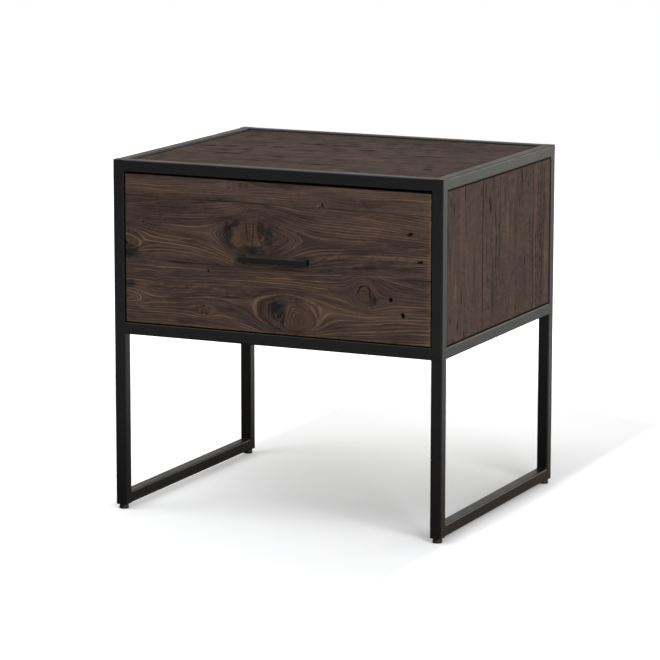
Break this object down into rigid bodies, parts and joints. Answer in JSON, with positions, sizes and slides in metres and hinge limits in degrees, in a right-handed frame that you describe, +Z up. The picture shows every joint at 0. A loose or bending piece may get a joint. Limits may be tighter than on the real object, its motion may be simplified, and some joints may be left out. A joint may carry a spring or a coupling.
{
  "type": "side table with drawer",
  "caption": "Square side table: slim black steel tube frame on sled-style legs, stained wood panels and a wide drawer with a flat bar handle that runs on ball slides.",
  "frame": {"origin": "on the floor, under the middle of the overall box with the handle counted in", "axes": "+X to the table's right as seen from the drawer side, +Y to the back, +Z up"},
  "size_m": [0.6, 0.5116, 0.6],
  "materials": {
    "frame_paint": "satin black powder coat",
    "handle_paint": "satin black",
    "stained_wood": "dark stain, matt lacquer",
    "plain_wood": "plain, matt lacquer",
    "slide_steel": "bright zinc",
    "cage_steel": "bent sheet",
    "ball_steel": "polished",
    "screw_steel": "bright zinc",
    "bumper_rubber": "matt",
    "insert_plastic": "matt",
    "foot_plastic": "matt"
  },
  "bodies": {
    "frame": {"front_left_leg": "frame_paint", "front_right_leg": "frame_paint", "back_left_leg": "frame_paint", "back_right_leg": "frame_paint", "left_base_rail": "frame_paint", "left_lower_rail": "frame_paint", "left_top_rail": "frame_paint", "right_base_rail": "frame_paint", "right_lower_rail": "frame_paint", "right_top_rail": "frame_paint", "front_lower_rail": "frame_paint", "front_top_rail": "frame_paint", "back_lower_rail": "frame_paint", "back_top_rail": "frame_paint", "leg_top_caps": "frame_paint", "foot_inserts": "insert_plastic", "top_panel": "stained_wood", "bottom_panel": "stained_wood", "left_side_panel": "stained_wood", "right_side_panel": "stained_wood", "back_panel": "stained_wood", "panel_tabs": "frame_paint", "panel_screws": "screw_steel", "left_slide_batten": "plain_wood", "right_slide_batten": "plain_wood", "left_outer_slide": "slide_steel", "right_outer_slide": "slide_steel", "cabinet_slide_screws": "screw_steel", "slide_bumpers": "bumper_rubber"},
    "drawer": {"drawer_front": "stained_wood", "drawer_inner_front": "plain_wood", "left_drawer_side": "plain_wood", "right_drawer_side": "plain_wood", "drawer_back": "plain_wood", "drawer_bottom": "plain_wood", "drawer_front_screws": "screw_steel", "handle_bar": "handle_paint", "left_handle_post": "handle_paint", "right_handle_post": "handle_paint", "handle_screws": "screw_steel", "left_inner_slide": "slide_steel", "right_inner_slide": "slide_steel", "drawer_slide_screws": "screw_steel"},
    "middle_slides": {"left_middle_slide": "slide_steel", "right_middle_slide": "slide_steel"},
    "outer_cages": {"outer_slide_cages": "cage_steel", "outer_slide_balls": "ball_steel"},
    "inner_cages": {"inner_slide_cages": "cage_steel", "inner_slide_balls": "ball_steel"},
    "front_left_foot": {"front_left_foot_pad": "foot_plastic", "front_left_foot_stud": "screw_steel"},
    "front_right_foot": {"front_right_foot_pad": "foot_plastic", "front_right_foot_stud": "screw_steel"},
    "back_left_foot": {"back_left_foot_pad": "foot_plastic", "back_left_foot_stud": "screw_steel"},
    "back_right_foot": {"back_right_foot_pad": "foot_plastic", "back_right_foot_stud": "screw_steel"}
  },
  "joints": [
    {"name": "drawer_slide", "type": "slide", "parent": "frame", "child": "drawer", "axis": [0, -1, 0], "range_m": [0, 0.38]},
    {"name": "middle_slide_travel", "type": "slide", "parent": "frame", "child": "middle_slides", "axis": [0, -1, 0], "range_m": [0, 0.19]},
    {"name": "outer_cage_travel", "type": "slide", "parent": "frame", "child": "outer_cages", "axis": [0, -1, 0], "range_m": [0, 0.095]},
    {"name": "inner_cage_travel", "type": "slide", "parent": "frame", "child": "inner_cages", "axis": [0, -1, 0], "range_m": [0, 0.285]},
    {"name": "front_left_foot_turn", "type": "hinge", "parent": "frame", "child": "front_left_foot", "pos_m": [-0.29, -0.23425, 0.004], "axis": [0, 0, 1], "continuous": true},
    {"name": "front_right_foot_turn", "type": "hinge", "parent": "frame", "child": "front_right_foot", "pos_m": [0.29, -0.23425, 0.004], "axis": [0, 0, 1], "continuous": true},
    {"name": "back_left_foot_turn", "type": "hinge", "parent": "frame", "child": "back_left_foot", "pos_m": [-0.29, 0.24575, 0.004], "axis": [0, 0, 1], "continuous": true},
    {"name": "back_right_foot_turn", "type": "hinge", "parent": "frame", "child": "back_right_foot", "pos_m": [0.29, 0.24575, 0.004], "axis": [0, 0, 1], "continuous": true}
  ],
  "couplings": [
    {"joint": "middle_slide_travel", "follows": "drawer_slide", "ratio": 0.5},
    {"joint": "outer_cage_travel", "follows": "drawer_slide", "ratio": 0.25},
    {"joint": "inner_cage_travel", "follows": "drawer_slide", "ratio": 0.75}
  ]
}
